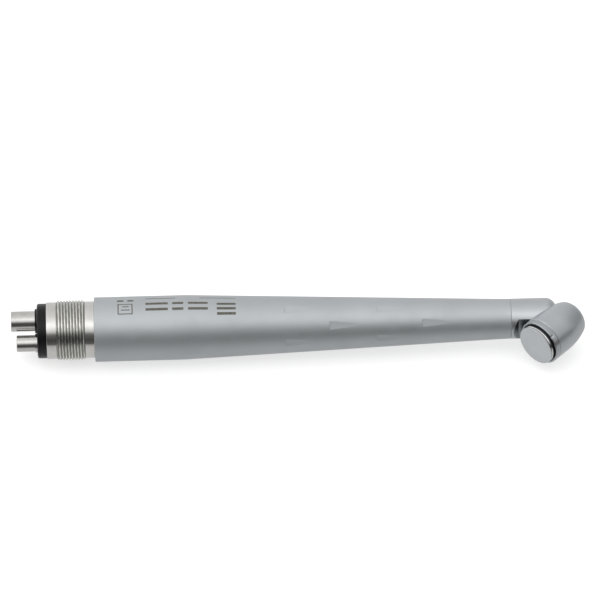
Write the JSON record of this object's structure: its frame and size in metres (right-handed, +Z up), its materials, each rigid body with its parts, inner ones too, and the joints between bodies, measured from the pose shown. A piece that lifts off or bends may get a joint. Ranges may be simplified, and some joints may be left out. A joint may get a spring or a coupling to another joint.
{
  "type": "high speed dental handpiece",
  "caption": "Air turbine dental handpiece with a 45 degree push button head, a tapered satin handle with grip flats and a threaded four hole hose coupling.",
  "frame": {"origin": "on the handle's axis at the rear face of the hose coupling's gasket", "axes": "+X along the handle from the hose end to the head, +Y to the side that the bur end leans to, +Z up as it lies on its side with the button towards -Y"},
  "size_m": [0.1341, 0.0199, 0.015],
  "materials": {
    "gasket_rubber": "matt moulded black rubber",
    "seal_rubber": "smooth black O-ring rubber",
    "coupling_steel": "turned and polished stainless steel",
    "tube_steel": "polished drawn stainless tube",
    "handle_satin": "satin blasted metal, soft sheen",
    "head_satin": "satin metal, a little brighter than the handle",
    "cap_steel": "satin band with a polished rim",
    "button_satin": "fine satin faced disc",
    "pipe_steel": "plain drawn tube",
    "spring_steel": "bright spring wire",
    "rotor_steel": "ground hardened steel",
    "impeller_alloy": "machined light alloy",
    "bearing_steel": "ground bearing steel",
    "cage_resin": "brown phenolic resin"
  },
  "bodies": {
    "handpiece": {"back_cap": "cap_steel", "button_spring": "spring_steel", "chip_air_nozzle": "tube_steel", "chip_air_pipe": "pipe_steel", "chip_air_tube": "tube_steel", "coupling_body": "coupling_steel", "coupling_gasket": "gasket_rubber", "coupling_o_ring": "seal_rubber", "drive_air_pipe": "pipe_steel", "drive_air_tube": "tube_steel", "exhaust_tube": "tube_steel", "front_bearing_o_ring": "seal_rubber", "front_bearing_outer_ring": "bearing_steel", "front_bearing_shield": "bearing_steel", "handle_shell": "handle_satin", "head_housing": "head_satin", "preload_washer": "spring_steel", "rear_bearing_o_ring": "seal_rubber", "rear_bearing_outer_ring": "bearing_steel", "rear_bearing_shield": "bearing_steel", "water_nozzle": "tube_steel", "water_pipe": "pipe_steel", "water_tube": "tube_steel"},
    "rotor": {"rotor_shaft": "rotor_steel", "impeller": "impeller_alloy", "collet": "rotor_steel", "chuck_spring": "spring_steel", "front_bearing_inner_ring": "bearing_steel", "rear_bearing_inner_ring": "bearing_steel"},
    "front_ball_set": {"front_bearing_balls": "bearing_steel", "front_bearing_cage": "cage_resin"},
    "rear_ball_set": {"rear_bearing_balls": "bearing_steel", "rear_bearing_cage": "cage_resin"},
    "button": {"push_button": "button_satin", "button_clip": "spring_steel"},
    "chuck_release": {"chuck_plunger": "rotor_steel"}
  },
  "joints": [
    {"name": "rotor_spin", "type": "hinge", "parent": "handpiece", "child": "rotor", "pos_m": [0.12195, -0.00311, 0], "axis": [0.7071, 0.7071, 0], "continuous": true},
    {"name": "front_ball_set_spin", "type": "hinge", "parent": "handpiece", "child": "front_ball_set", "pos_m": [0.12372, -0.00134, 0], "axis": [0.7071, 0.7071, 0], "continuous": true},
    {"name": "rear_ball_set_spin", "type": "hinge", "parent": "handpiece", "child": "rear_ball_set", "pos_m": [0.12018, -0.00488, 0], "axis": [0.7071, 0.7071, 0], "continuous": true},
    {"name": "button_press", "type": "slide", "parent": "handpiece", "child": "button", "axis": [0.7071, 0.7071, 0], "range_m": [0, 0.0006], "stiffness_N_per_m": 4000, "springref_m": -0.0005, "deforming": ["button_spring"]},
    {"name": "chuck_release_slide", "type": "slide", "parent": "rotor", "child": "chuck_release", "axis": [0.7071, 0.7071, 0], "range_m": [0, 0.0002], "deforming": ["chuck_spring"]}
  ],
  "couplings": [
    {"joint": "front_ball_set_spin", "follows": "rotor_spin", "ratio": 0.395},
    {"joint": "rear_ball_set_spin", "follows": "rotor_spin", "ratio": 0.395},
    {"joint": "chuck_release_slide", "follows": "button_press", "ratio": 0.33333}
  ]
}
